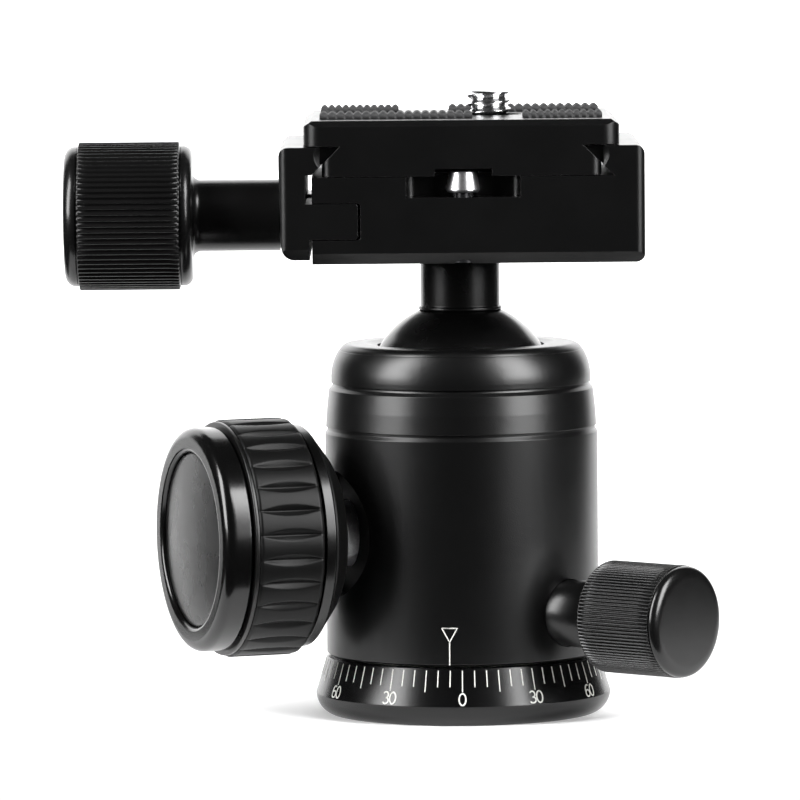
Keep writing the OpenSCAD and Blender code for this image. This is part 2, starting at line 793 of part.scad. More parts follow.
// Rubber grip: lens-shaped flutes, each cut by a ring-shaped tool that leaves at both ends
module knob_grip() {
    flute_l = grip_l - 0.7;
    tool_r = (pow(flute_w, 2) / 4 + pow(flute_depth, 2)) / (2 * flute_depth);
    sweep_r = (pow(flute_l, 2) / 4 + pow(flute_depth, 2)) / (2 * flute_depth);
    color([0.16, 0.16, 0.16])
        lock_frame(main_azimuth, main_z)
            difference() {
                rotate_extrude()
                    polygon([[hub_r + seat_gap, grip_z], [grip_d / 2 - 0.35, grip_z],
                        [grip_d / 2, grip_z + 0.35], [grip_d / 2, grip_z + grip_l - 0.35],
                        [grip_d / 2 - 0.35, grip_z + grip_l], [hub_r + seat_gap, grip_z + grip_l]]);
                for (i = [0 : grip_flutes - 1])
                    rotate([0, 0, 360 * i / grip_flutes])
                        translate([grip_d / 2 - flute_depth + sweep_r, 0, grip_z + grip_l / 2])
                            rotate([90, 0, 0])
                                rotate_extrude() translate([sweep_r - tool_r, 0]) circle(tool_r);
            }
}

// Thin raised lip in front of the grip
module knob_lip()
    color([0.14, 0.14, 0.14])
        lock_frame(main_azimuth, main_z)
            tube(grip_d / 2 - 0.3, hub_r + seat_gap, cap_z - lip_ring_t, lip_ring_t);

// Polished cap: a rounded rim around the sunk disc
module knob_cap() {
    rim_r = (cap_d - disc_d) / 4;
    rim_x = disc_d / 2 + rim_r;
    color([0.1, 0.1, 0.1])
        lock_frame(main_azimuth, main_z)
            rotate_extrude()
                difference() {
                    union() {
                        translate([0, cap_z]) square([cap_d / 2 - 0.25, 0.3]);
                        translate([0, cap_z + 0.25]) square([cap_d / 2, cap_l - rim_r - 0.25]);
                        translate([rim_x, knob_face - rim_r]) circle(rim_r);
                        translate([0, cap_z + 0.25]) square([rim_x, cap_l - rim_r]);
                    }
                    translate([0, knob_face - disc_sink - disc_t])
                        square([disc_d / 2 + seat_gap, cap_l]);
                }
}

// Satin disc set in the cap
module knob_disc()
    color([0.25, 0.25, 0.26])
        lock_frame(main_azimuth, main_z)
            rod(disc_d / 2, knob_face - disc_sink - disc_t, disc_t);

// ---- pan lock ----

// Plug that the pan screw pushes into the spindle's groove
module brake_pad() {
    nose_apex = vee_apex + run_gap * sqrt(2);
    color([0.85, 0.85, 0.82])
        lock_frame(main_azimuth + knob_spread, pan_z)
            rotate_extrude()
                polygon([[0, pad_tip], [pad_tip - nose_apex, pad_tip], [pad_r, nose_apex + pad_r],
                    [pad_r, pad_out], [0, pad_out]]);
}

// Threaded end of the pan lock
module pan_screw()
    color([0.6, 0.6, 0.62])
        lock_frame(main_azimuth + knob_spread, pan_z) {
            rod(pan_thread_d / 2, pad_out + face_gap, pan_neck_in - pad_out - face_gap);
            rod(pan_thread_d / 2 - 1, pan_neck_in, pan_head_z + pan_knob_l * 0.6 - pan_neck_in);
        }

// Knurled pan knob, turned in one piece with its neck
module pan_knob() {
    r = pan_knob_d / 2;
    knurl_z = pan_head_z + 0.6;
    rim_z0 = pan_head_z + pan_knob_l - pan_rim_l;
    color([0.08, 0.08, 0.08])
        lock_frame(main_azimuth + knob_spread, pan_z)
            difference() {
                union() {
                    rod(pan_neck_d / 2, pan_neck_in, pan_head_z - pan_neck_in);
                    rotate_extrude()
                        polygon([[0, pan_head_z], [r - 0.7, pan_head_z], [r - 0.15, knurl_z],
                            [0, knurl_z]]);
                    knurled_bar(r, 0.28, pan_ridges, knurl_z, rim_z0 - knurl_z);
                    translate([0, 0, rim_z0]) filleted_disc(r - 0.1, pan_rim_l, pan_rim_l * 0.9);
                }
                rod(pan_thread_d / 2 - 1 + seat_gap, pan_neck_in - cut,
                    pan_head_z + pan_knob_l * 0.6 - pan_neck_in + cut + seat_gap);
            }
}

// ---- clamp ----

// Block that the clamp body and the jaw are cut from; foot_lift raises its underside
module clamp_block(foot_lift = 0) {
    bevel = clamp_bevel * sqrt(2);
    difference() {
        intersection() {
            translate([0, 0, foot_lift]) along_y(clamp_l)
                round_rect(clamp_w, clamp_h - foot_lift, clamp_round);
            translate([0, -clamp_l / 2, 0]) linear_extrude(clamp_h)
                round_rect(clamp_w, clamp_l, clamp_round);
        }
        for (y = [-clamp_l / 2, clamp_l / 2])
            translate([0, y, foot_lift]) rotate([45, 0, 0])
                cube([clamp_w + cut, bevel, bevel], center = true);
    }
}

// Dovetail channel across the top of the clamp, a running gap wider than the rail
module channel() {
    g = run_gap * sqrt(2);
    top_x = rail_top_r + slab_gap + g;
    floor_x = top_x + channel_depth;
    along_y(clamp_l + cut)
        polygon([[-floor_x, channel_z], [floor_x, channel_z], [top_x, clamp_h],
            [top_x - cut, clamp_h + cut], [cut - top_x, clamp_h + cut], [-top_x, clamp_h]]);
}

// Lead-in at both ends of a jaw's lip, where the rail enters: side is 1 or -1
module lead_in(side)
    for (end = [0, 180])
        rotate([0, 0, end]) {
            s = end == 0 ? side : -side;
            translate([s * scoop_x, -clamp_l / 2 - 0.01, scoop_z]) rotate([-90, 0, 0])
                cylinder(r1 = scoop_r, r2 = scoop_r - 1.2, h = 1.2);
            translate([s > 0 ? 0 : -rail_r - 0.3, -clamp_l / 2 - cut, rail_wide_z])
                cube([rail_r + 0.3, cut + 1.2, clamp_h]);
        }

// Room of the jaw: head, foot and guide tongue, with gaps beside the foot and around the tongue
module jaw_room(foot_gap, g, end_x) {
    r = 0.5;
    along_y(clamp_l + 2 * cut) {
        translate([-jaw_x - cut, -cut]) square([jaw_t + cut + foot_gap, clamp_h + 2 * cut]);
        translate([-jaw_x - cut, channel_z]) square([jaw_x + cut, clamp_h]);
        translate([-jaw_x, tongue_z - g]) square([jaw_x - end_x - r, tongue_h + 2 * g]);
        translate([-end_x - r, tongue_z - g + r]) square([r, tongue_h + 2 * g - 2 * r]);
        for (z = [tongue_z - g + r, tongue_z + g + tongue_h - r])
            translate([-end_x - r, z]) circle(r);
    }
}

// Clamp body with the fixed jaw, the channel and the window of the safety pin
module clamp_body()
    color([0.06, 0.06, 0.06])
        clamp_frame()
            difference() {
                clamp_block();
                jaw_room(jaw_gap, tongue_gap, slot_end);
                channel();
                lead_in(1);
                pin_window();
                translate([pin_x, pin_y, 0]) {
                    rod(pin_head_d / 2 + run_gap, channel_z - window_h - pin_travel, window_h + pin_travel);
                    rod(pin_stem_r + run_gap, 0, channel_z);
                    rod(pin_bore_r + run_gap, -cut, pin_guide_z + cut);
                }
                translate([-clamp_offset, 0, 0]) {
                    rod(stem_r + 0.06, -cut, socket_depth + cut);
                    translate([0, 0, channel_z]) countersink(stem_bolt_d, bolt_head_h, channel_z + cut, seat_gap);
                }
                translate([0, 0, clamp_screw_h]) rotate([0, -90, 0])
                    rod(clamp_thread_d / 2 + run_gap, clamp_screw_in - 0.6, clamp_w);
                for (y = [-jaw_spring_y, jaw_spring_y])
                    translate([0, y, clamp_screw_h]) rotate([0, -90, 0])
                        rod(jaw_spring_r + 0.3, slot_end - jaw_spring_hole, jaw_x);
            }

// Window in the front face: a slot with round ends that opens into the channel
module pin_window()
    translate([pin_x, -clamp_l / 2 - window_d, channel_z - window_h])
        linear_extrude(window_h + cut)
            round_rect(window_w, 2 * window_d, 1.3);

// Countersunk bolt from the channel's floor into the stem
module clamp_bolt()
    color([0.6, 0.6, 0.62])
        translate([0, 0, clamp_z + channel_z])
            difference() {
                countersink(stem_bolt_d, bolt_head_h, channel_z + stem_l + stem_bolt_reach);
                translate([0, 0, -2.2]) cylinder(d = 4.6, h = 4, $fn = 6);
            }

// Screw plug under the safety pin's spring
module pin_plug()
    color([0.3, 0.3, 0.31])
        clamp_frame() translate([pin_x, pin_y, 0.1])
            difference() {
                rod(pin_bore_r, 0, plug_h);
                translate([0, 0, -cut]) cylinder(d = 1.6, h = cut + 0.9, $fn = 6);
            }

// Spring that lifts the safety pin
module pin_spring() {
    wire = 0.22;
    low = plug_h + 0.15 + wire;
    high = pin_clip_z - 0.05 - wire;
    color([0.7, 0.7, 0.72])
        clamp_frame() translate([pin_x, pin_y, low])
            coil(pin_stem_r + 0.32, wire, 4, (high - low) / 4);
}

// Clip on the safety pin's stem, between the guide and the spring
module pin_clip()
    color([0.6, 0.6, 0.62])
        clamp_frame() translate([pin_x, pin_y, 0])
            tube(pin_bore_r - run_gap, pin_stem_r + seat_gap, pin_clip_z, pin_clip_t);

// Chrome pin that stops the plate: tapered head and stem
module safety_pin() {
    head_top = channel_z + pin_rise;
    color([0.85, 0.85, 0.86])
        clamp_frame() translate([pin_x, pin_y, 0])
            rotate_extrude()
                polygon([[0, pin_clip_z - 0.9], [pin_stem_r, pin_clip_z - 0.9], [pin_stem_r, pin_head_z],
                    [pin_head_d / 2 - 0.35, pin_head_z], [pin_head_d / 2, pin_head_z + 0.35],
                    [pin_top_d / 2, head_top], [0, head_top]]);
}

// ---- movable jaw ----

// Movable jaw with its lip and its guide tongue
module movable_jaw()
    color([0.06, 0.06, 0.06])
        clamp_frame()
            difference() {
                intersection() {
                    clamp_block(jaw_lift);
                    jaw_room(0, 0, tongue_end);
                }
                jaw_face_cut();
                channel();
                lead_in(-1);
                along_y(clamp_l + cut)
                    translate([-jaw_inner - relief_d, tongue_z + tongue_h])
                        square([relief_d + cut, channel_z - tongue_z - tongue_h + 0.4]);
                translate([0, 0, clamp_screw_h]) rotate([0, -90, 0]) {
                    rod(clamp_thread_d / 2 + 0.3, 0, clamp_w);
                    rod(clamp_neck_d / 2 - 0.2, jaw_x - washer_t, clamp_w);
                }
                for (y = [-jaw_spring_y, jaw_spring_y])
                    translate([0, y, clamp_screw_h]) rotate([0, -90, 0])
                        rod(jaw_spring_r + 0.3, 0, tongue_end + jaw_spring_hole);
            }

// What the jaw's outer face loses: a thin wedge, and its lower edge is rounded
module jaw_face_cut()
    along_y(clamp_l + cut) {
        polygon([[-jaw_x - cut, -cut], [-jaw_x + jaw_lean, -cut], [-jaw_x + jaw_lean, jaw_lift],
            [-jaw_x, clamp_h - 2 * clamp_round], [-jaw_x - cut, clamp_h - 2 * clamp_round]]);
        translate([-jaw_x + jaw_lean, jaw_lift])
            difference() {
                translate([-cut, -cut]) square(jaw_round + cut);
                translate([jaw_round, jaw_round]) circle(jaw_round);
            }
    }

// Two springs that open the jaw
module jaw_springs() {
    wire = 0.3;
    low = slot_end - jaw_spring_hole + 0.1 + wire;
    high = tongue_end + jaw_spring_hole - 0.1 - wire;
    color([0.7, 0.7, 0.72])
        clamp_frame()
            for (y = [-jaw_spring_y, jaw_spring_y])
                translate([0, y, clamp_screw_h]) rotate([0, -90, 0]) translate([0, 0, low])
                    coil(jaw_spring_r - wire, wire, 6, (high - low) / 6);
}

// Washer between the knob and the jaw
module jaw_washer()
    color([0.7, 0.7, 0.72])
        clamp_axis()
            tube(clamp_neck_d / 2 - 0.3, clamp_thread_d / 2 + 0.2, jaw_x - washer_t, washer_t);

// Threaded rod of the clamp
module clamp_screw()
    color([0.6, 0.6, 0.62])
        clamp_axis() {
            rod(clamp_thread_d / 2, clamp_screw_in, clamp_neck_z - clamp_screw_in);
            rod(clamp_thread_d / 2 - 0.5, clamp_neck_z, clamp_neck_l + clamp_knob_l * 0.5);
        }

// Knurled clamp knob, turned in one piece with its flared neck
module clamp_knob() {
    r = clamp_knob_d / 2;
    rim_r = r - 0.5;
    neck_r = clamp_neck_d / 2;
    flare = 1.8;
    rear_rim = 1.95;
    front_rim = 2;
    knurl_l = clamp_knob_l - rear_rim - front_rim;
    color([0.07, 0.07, 0.07])
        clamp_axis()
            difference() {
                union() {
                    rod(neck_r, clamp_neck_z, clamp_neck_l);
                    rotate_extrude()
                        difference() {
                            translate([0, clamp_head_z - flare]) square([neck_r + flare, flare]);
                            translate([neck_r + flare, clamp_head_z - flare]) circle(flare);
                        }
                    translate([0, 0, clamp_head_z + rear_rim]) mirror([0, 0, 1])
                        filleted_disc(rim_r, rear_rim, 0.9);
                    knurled_bar(r, 0.3, clamp_ridges, clamp_head_z + rear_rim, knurl_l);
                    translate([0, 0, clamp_head_z + rear_rim + knurl_l])
                        filleted_disc(rim_r, front_rim, 1.6);
                }
                rod(clamp_thread_d / 2 - 0.5 + seat_gap, clamp_neck_z - cut,
                    clamp_neck_l + clamp_knob_l * 0.5 + cut + seat_gap);
            }
}

// ---- camera plate ----

// Slab with beveled top edges and a dovetail rail under it
module camera_plate()
    color([0.06, 0.06, 0.06])
        clamp_frame()
            difference() {
                union() {
                    intersection() {
                        along_y(plate_l) slab_profile(plate_w);
                        rotate([0, 0, 90]) along_y(plate_w) slab_profile(plate_l);
                        translate([0, -plate_l / 2, slab_z]) linear_extrude(slab_t)
                            round_rect(plate_w, plate_l, plate_round);
                    }
                    intersection() {
                        along_y(plate_l)
                            polygon([[-rail_r, rail_z], [rail_r, rail_z], [rail_r, rail_wide_z],
                                [rail_top_r, slab_z + 0.01], [-rail_top_r, slab_z + 0.01],
                                [-rail_r, rail_wide_z]]);
                        translate([0, -plate_l / 2, 0]) linear_extrude(plate_top)
                            round_rect(rail_w, plate_l, plate_round * 0.6);
                    }
                }
                screw_slot();
                translate([-catch_w / 2 + pin_x, -plate_l / 2 - cut, rail_z - cut])
                    cube([catch_w, catch_l + cut, cut + pin_rise + 0.25]);
            }

module slab_profile(w)
    polygon([[-w / 2, slab_z], [w / 2, slab_z], [w / 2, plate_top - slab_bevel * 0.68],
        [w / 2 - slab_bevel, plate_top], [slab_bevel - w / 2, plate_top],
        [-w / 2, plate_top - slab_bevel * 0.68]]);

// Slot of the camera screw, with the pocket for its head
module screw_slot() {
    for (s = [[slot_r, 0], [pocket_r, pocket_z]])
        translate([0, 0, s[1] > 0 ? -cut : 0])
            linear_extrude(s[1] > 0 ? s[1] + cut : plate_top + cut) {
                for (x = [-screw_run, screw_run]) translate([x, 0]) circle(s[0]);
                translate([-screw_run, -s[0]]) square([2 * screw_run, 2 * s[0]]);
            }
}

// Flat rubber pad on the slab, from its left edge x0 and its front edge y0
module rubber_pad(x0, y0, l)
    color([0.2, 0.2, 0.2])
        clamp_frame() translate([x0, y0, plate_top]) cube([l, pad_w, pad_t]);

module pad_front_left()
    rubber_pad(pad_margin - plate_w / 2, -pad_spread / 2 - pad_w, pad_long);
module pad_front_right()
    rubber_pad(plate_w / 2 - pad_margin - pad_short, -pad_spread / 2 - pad_w, pad_short);
module pad_back_left()
    rubber_pad(pad_margin - plate_w / 2, pad_spread / 2, pad_short);
module pad_back_right()
    rubber_pad(plate_w / 2 - pad_margin - pad_long, pad_spread / 2, pad_long);

// Open spring clip that keeps the camera screw in its slot
module screw_clip()
    color([0.6, 0.6, 0.62])
        clamp_frame() translate([screw_x, 0, pocket_z - clip_ring_t - face_gap])
            difference() {
                tube(screw_r + 2, screw_neck_r + run_gap, 0, clip_ring_t);
                translate([-1.5, -pocket_r, -cut]) cube([3, pocket_r, clip_ring_t + 2 * cut]);
            }

// Camera screw with a slotted head, and a neck that lets the clip in under its thread
module camera_screw() {
    head_z = pocket_z - clip_ring_t - 2 * face_gap - screw_head_t;
    color([0.85, 0.85, 0.86])
        clamp_frame() translate([screw_x, 0, 0])
            difference() {
                union() {
                    rod(screw_neck_r, head_z, plate_top + thread_start - head_z);
                    rod(screw_r, plate_top + thread_start, camera_screw_h - thread_start);
                    rod(head_r, head_z, screw_head_t);
                }
                translate([-head_r - cut, -0.8, head_z - cut]) cube([screw_head_d + 2 * cut, 1.6, cut + 1.4]);
            }
}

base_ring();
thread_bush();
pan_spindle();
spindle_screws();
glide_ring();
housing();
crown_ring();
thrust_washer();
retaining_ring();
upper_liner();
seat_lifter();
drag_spring();
ball_seat();
ball();
stem();
push_pin();
main_screw();
main_collar();
knob_back();
knob_rear_ring();
knob_hub();
knob_grip();
knob_lip();
knob_cap();
knob_disc();
brake_pad();
pan_screw();
pan_knob();
clamp_body();
clamp_bolt();
pin_plug();
pin_spring();
pin_clip();
safety_pin();
movable_jaw();
jaw_springs();
jaw_washer();
clamp_screw();
clamp_knob();
camera_plate();
pad_front_left();
pad_front_right();
pad_back_left();
pad_back_right();
screw_clip();
camera_screw();
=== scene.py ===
"""Tripod ball head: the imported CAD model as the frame, dressed with knurls, flutes, threads, pads, scale and
finishes. Sections follow the order in which the real head is put together, after the camera and the light."""
import json
import math

import bmesh
import bpy
import numpy as np
from mathutils import Matrix, Vector


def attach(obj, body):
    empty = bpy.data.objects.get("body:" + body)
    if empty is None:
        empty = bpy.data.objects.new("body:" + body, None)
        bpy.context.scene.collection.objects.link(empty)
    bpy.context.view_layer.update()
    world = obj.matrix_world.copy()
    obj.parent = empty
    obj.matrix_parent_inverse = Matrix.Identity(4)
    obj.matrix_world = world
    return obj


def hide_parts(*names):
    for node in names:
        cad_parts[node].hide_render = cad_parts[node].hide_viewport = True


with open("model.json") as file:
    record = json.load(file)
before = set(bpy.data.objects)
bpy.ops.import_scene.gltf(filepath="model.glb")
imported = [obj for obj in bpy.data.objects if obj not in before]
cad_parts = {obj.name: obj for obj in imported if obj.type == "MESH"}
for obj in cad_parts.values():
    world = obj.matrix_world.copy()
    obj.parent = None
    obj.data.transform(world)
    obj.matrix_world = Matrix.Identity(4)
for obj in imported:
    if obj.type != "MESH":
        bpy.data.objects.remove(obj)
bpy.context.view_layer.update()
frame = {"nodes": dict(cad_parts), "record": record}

# ---- Camera ----
# The view was solved from the ellipses of the base and the housing: a long lens 1.1 m away, 4.55 degrees
# above the horizon, rolled half a degree. Lengths of the head and the camera are in millimetres, and MM
# turns them into metres.
MM = 0.001


def camera():
    pitch, roll, dist = math.radians(4.55), math.radians(0.5), 1100.0
    aim_x, aim_z = -8.8, 45.05
    focal_px, picture_px, sensor = 7623.0, 800.0, 36.0
    place = Vector((aim_x, -dist * math.cos(pitch), aim_z + dist * math.sin(pitch))) * MM
    ahead = Vector((0, math.cos(pitch), -math.sin(pitch)))
    side, up = Vector((1, 0, 0)), Vector((0, math.sin(pitch), math.cos(pitch)))
    c, s = math.cos(roll), math.sin(roll)
    axes = Matrix((c * side - s * up, s * side + c * up, -ahead)).transposed()
    data = bpy.data.cameras.new("camera")
    data.sensor_width, data.lens = sensor, focal_px * sensor / picture_px
    data.clip_start, data.clip_end = 0.01, 50.0
    cam = bpy.data.objects.new("camera", data)
    cam.matrix_world = Matrix.Translation(place) @ axes.to_4x4()
    bpy.context.scene.collection.objects.link(cam)
    bpy.context.scene.camera = cam
    bpy.context.scene.view_settings.view_transform = "Standard"


camera()

# ---- Light and floor ----
# Two tall soft boxes at the front corners give the two upright streaks of the photograph. A pale floor rises
# into a brighter backdrop behind the head; its front and side edges stand close, so that faces towards the
# camera stay dark. A white surround, seen only by the camera, closes the picture on all other sides.


def nodes_of(name):
    mat = bpy.data.materials.new(name)
    mat.use_nodes = True
    tree = mat.node_tree
    return mat, tree, tree.nodes["Principled BSDF"]


def area(name, azimuth, height, dist, wide, tall, power):
    """Upright soft box: azimuth in degrees from the front towards +X, all lengths in metres. It faces the
    head level, and its lower edge stands above the head's foot, so that upright walls darken downwards."""
    data = bpy.data.lights.new(name, "AREA")
    data.shape, data.size, data.size_y, data.energy = "RECTANGLE", wide, tall, power
    lamp = bpy.data.objects.new(name, data)
    a = math.radians(azimuth)
    spot = Vector((dist * math.sin(a), -dist * math.cos(a), height))
    lamp.location = spot
    aim = Vector((0, 0, height)) - spot
    lamp.rotation_euler = aim.to_track_quat("-Z", "Y").to_euler()
    bpy.context.scene.collection.objects.link(lamp)


def studio():
    """Lengths here are in metres. The floor's left edge stands close beside the head and widens behind it;
    the floor bends up into a wall. The surround is a disc under the floor with a dome over it."""
    area("box_left", azimuth=-63, height=0.605, dist=0.8, wide=0.40, tall=1.0, power=17)
    area("box_right", azimuth=55, height=0.605, dist=0.8, wide=0.44, tall=1.0, power=19)
    world = bpy.data.worlds.new("studio")
    world.use_nodes = True
    world.node_tree.nodes["Background"].inputs["Color"].default_value = (1, 1, 1, 1)
    world.node_tree.nodes["Background"].inputs["Strength"].default_value = 0.02
    bpy.context.scene.world = world
    front_y, flare_y, bend_y, bend_r, wall_top, floor_z = -0.042, 0.08, 0.9, 0.6, 1.6, -0.00002
    bend = [(bend_y + bend_r * math.sin(a), bend_r - bend_r * math.cos(a))
            for a in np.linspace(0.1, math.pi / 2, 16)]
    rows = [(front_y, 0.0), (flare_y, 0.0), (flare_y + 0.001, 0.0), (0.3, 0.0), (bend_y, 0.0)] + bend
    rows.append((bend_y + bend_r, wall_top))
    grid = []
    for y, z in rows:
        left = -0.11 if y <= flare_y else -0.04 - 0.88 * y
        right = 0.13 + 0.6 * max(0, y)
        grid.append([(left, y, z + floor_z), (right, y, z + floor_z)])
    sheet("sweep", grid, 0.9, (0.0, 1.2), (0.25, 1.6))
    far, under = 4.0, -0.0004
    ring = np.linspace(0, 2 * math.pi, 65)
    dome = [(0.0, under), (far, under)]
    dome += [(far * math.cos(t), far * math.sin(t)) for t in np.linspace(0.02, 1.57, 24)]
    grid = [[(r * math.cos(a), r * math.sin(a), z) for a in ring] for r, z in dome]
    surround = sheet("surround", grid, 0.0, (0.0, 1.0), (1.05, 1.05))
    surround.visible_diffuse = surround.visible_glossy = surround.visible_shadow = False


def sheet(name, grid, white, across, glow):
    """Smooth sheet over a grid of points, with a matt colour (white: its lightness) and a glow that changes
    from glow[0] to glow[1] between the two depths in across."""
    wide = len(grid[0])
    faces = [(i * wide + j, i * wide + j + 1, (i + 1) * wide + j + 1, (i + 1) * wide + j)
             for i in range(len(grid) - 1) for j in range(wide - 1)]
    mesh = bpy.data.meshes.new(name)
    mesh.from_pydata([p for row in grid for p in row], [], faces)
    mesh.polygons.foreach_set("use_smooth", [True] * len(faces))
    obj = bpy.data.objects.new(name, mesh)
    bpy.context.scene.collection.objects.link(obj)
    mat, tree, shader = nodes_of(name)
    shader.inputs["Base Color"].default_value = (white, white, white, 1)
    shader.inputs["Roughness"].default_value = 0.9
    shader.inputs["Specular IOR Level"].default_value = 0.0
    shader.inputs["Emission Color"].default_value = (1, 1, 1, 1)
    place, split = tree.nodes.new("ShaderNodeTexCoord"), tree.nodes.new("ShaderNodeSeparateXYZ")
    ramp = tree.nodes.new("ShaderNodeMapRange")
    for side, ends in (("From", across), ("To", glow)):
        ramp.inputs[side + " Min"].default_value, ramp.inputs[side + " Max"].default_value = ends
    tree.links.new(place.outputs["Object"], split.inputs["Vector"])
    tree.links.new(split.outputs["Y"], ramp.inputs["Value"])
    tree.links.new(ramp.outputs["Result"], shader.inputs["Emission Strength"])
    mesh.materials.append(mat)
    return obj


studio()

# ---- Finishes ----
# Each slot of the record gets one procedural finish: grain in the bump, blotches in the roughness, softened
# edges that catch the light, and turning rings where the piece carries its own turned coordinates.
FINISH = {}
SLOT_OF = {r["node"]: r["material_slot"] for r in frame["record"]["subparts"]}


def finish(slot, color, rough, metal=0.0, spec=0.5, grain=0.16, bump=0.25, edge=0.12, blotch=0.04, rings=0.0,
           tint=0.15):
    """color, rough, metal, spec: the shader's own values; grain: size of the surface grain in mm; bump: its
    strength; edge: radius of softened edges in mm; blotch: swing of the roughness over 6 mm; rings: strength
    of turning marks, on pieces with turned coordinates; tint: how much the colour varies."""
    mat, tree, shader = nodes_of(slot)
    new, link = tree.nodes.new, tree.links.new
    place = new("ShaderNodeTexCoord")
    fine, broad = new("ShaderNodeTexNoise"), new("ShaderNodeTexNoise")
    fine.inputs["Scale"].default_value = 1 / (grain * MM)
    fine.inputs["Detail"].default_value = 2.0
    broad.inputs["Scale"].default_value = 1 / (6 * MM)
    broad.inputs["Detail"].default_value = 5.0
    for n in (fine, broad):
        link(place.outputs["Object"], n.inputs["Vector"])
    swing = new("ShaderNodeMapRange")
    swing.inputs["From Min"].default_value, swing.inputs["From Max"].default_value = 0.3, 0.7
    swing.inputs["To Min"].default_value = max(0.02, rough - blotch)
    swing.inputs["To Max"].default_value = rough + blotch
    link(broad.outputs["Fac"], swing.inputs["Value"])
    link(swing.outputs["Result"], shader.inputs["Roughness"])
    shade = new("ShaderNodeValToRGB")
    shade.color_ramp.elements[0].position, shade.color_ramp.elements[1].position = 0.3, 0.72
    shade.color_ramp.elements[0].color = [c * (1 - tint) for c in color] + [1]
    shade.color_ramp.elements[1].color = [min(1, c * (1 + tint)) for c in color] + [1]
    link(fine.outputs["Fac"], shade.inputs["Fac"])
    link(shade.outputs["Color"], shader.inputs["Base Color"])
    shader.inputs["Metallic"].default_value = metal
    shader.inputs["Specular IOR Level"].default_value = spec
    soft = new("ShaderNodeBevel")
    soft.samples = 4
    soft.inputs["Radius"].default_value = edge * MM
    relief = new("ShaderNodeBump")
    relief.inputs["Strength"].default_value = bump
    relief.inputs["Distance"].default_value = grain * MM * 0.25
    link(fine.outputs["Fac"], relief.inputs["Height"])
    link(soft.outputs["Normal"], relief.inputs["Normal"])
    last = relief
    if rings:
        uv, stretch, turning = new("ShaderNodeUVMap"), new("ShaderNodeMapping"), new("ShaderNodeTexNoise")
        uv.uv_map = "turned"
        stretch.inputs["Scale"].default_value = (2.0, 9.0, 1.0)
        turning.inputs["Scale"].default_value = 1.0
        turning.inputs["Detail"].default_value = 3.0
        link(uv.outputs["UV"], stretch.inputs["Vector"])
        link(stretch.outputs["Vector"], turning.inputs["Vector"])
        lines = new("ShaderNodeBump")
        lines.inputs["Strength"].default_value = rings
        lines.inputs["Distance"].default_value = 0.01 * MM
        link(turning.outputs["Fac"], lines.inputs["Height"])
        link(relief.outputs["Normal"], lines.inputs["Normal"])
        last = lines
    link(last.outputs["Normal"], shader.inputs["Normal"])
    FINISH[slot] = mat
    for node, owner in SLOT_OF.items():
        if owner == slot:
            mesh = frame["nodes"][node].data
            for i in range(len(mesh.materials)):
                mesh.materials[i] = mat


def matt_spot(mat):
    """The flat round the main collar is left matt and dull: a mask within reach of the lock's axis, on its
    side. The distance from the axis is the length of the cross product with the axis's direction."""
    azimuth, height, reach = math.radians(-69.6), 26.45, 9.1
    spot_rough, plain_spec, spot_spec = 0.75, 0.5, 0.08
    tree, shader = mat.node_tree, mat.node_tree.nodes["Principled BSDF"]
    place, shift = tree.nodes.new("ShaderNodeTexCoord"), tree.nodes.new("ShaderNodeMapping")
    shift.inputs["Location"].default_value = (0, 0, -height * MM)
    cross, length = (tree.nodes.new("ShaderNodeVectorMath") for _ in range(2))
    cross.operation, length.operation = "CROSS_PRODUCT", "LENGTH"
    cross.inputs[1].default_value = (math.sin(azimuth), -math.cos(azimuth), 0)
    near, side, both = (tree.nodes.new("ShaderNodeMath") for _ in range(3))
    near.operation, side.operation, both.operation = "LESS_THAN", "LESS_THAN", "MULTIPLY"
    near.inputs[1].default_value = reach * MM
    side.inputs[1].default_value = 0.0
    split, mix = tree.nodes.new("ShaderNodeSeparateXYZ"), tree.nodes.new("ShaderNodeMix")
    old = shader.inputs["Roughness"].links[0].from_socket
    for p, q in ((place.outputs["Object"], shift.inputs["Vector"]),
                 (shift.outputs["Vector"], cross.inputs[0]),
                 (cross.outputs["Vector"], length.inputs[0]), (length.outputs["Value"], near.inputs[0]),
                 (place.outputs["Object"], split.inputs["Vector"]), (split.outputs["X"], side.inputs[0]),
                 (near.outputs["Value"], both.inputs[0]), (side.outputs["Value"], both.inputs[1]),
                 (both.outputs["Value"], mix.inputs["Factor"]), (old, mix.inputs["A"]),
                 (mix.outputs["Result"], shader.inputs["Roughness"])):
        tree.links.new(p, q)
    mix.inputs["B"].default_value = spot_rough
    dull = tree.nodes.new("ShaderNodeMix")
    dull.inputs["A"].default_value, dull.inputs["B"].default_value = plain_spec, spot_spec
    tree.links.new(both.outputs["Value"], dull.inputs["Factor"])
    tree.links.new(dull.outputs["Result"], shader.inputs["Specular IOR Level"])


finish("base_black", (0.0018, 0.0018, 0.0019), 0.23, spec=0.4, grain=0.14, bump=0.3, blotch=0.01)
finish("housing_black", (0.0022, 0.0022, 0.0023), 0.29, grain=0.14, bump=0.35, blotch=0.01)
matt_spot(FINISH["housing_black"])
finish("crown_black", (0.0022, 0.0022, 0.0023), 0.29, grain=0.14, bump=0.35, blotch=0.01)
finish("ball_black", (0.0018, 0.0018, 0.0018), 0.24, bump=0.08)
finish("stem_black", (0.003, 0.003, 0.003), 0.26, bump=0.08)
finish("clamp_black", (0.002, 0.002, 0.0021), 0.3, grain=0.14, bump=0.3, blotch=0.015)
finish("jaw_black", (0.002, 0.002, 0.0021), 0.3, grain=0.14, bump=0.3, blotch=0.015)
finish("plate_black", (0.002, 0.002, 0.0021), 0.3, grain=0.14, bump=0.3, blotch=0.015)
finish("knob_back_black", (0.002, 0.002, 0.002), 0.42, spec=0.25, bump=0.1)
finish("ring_gloss", (0.0025, 0.0025, 0.0025), 0.24, bump=0.05, blotch=0.02)
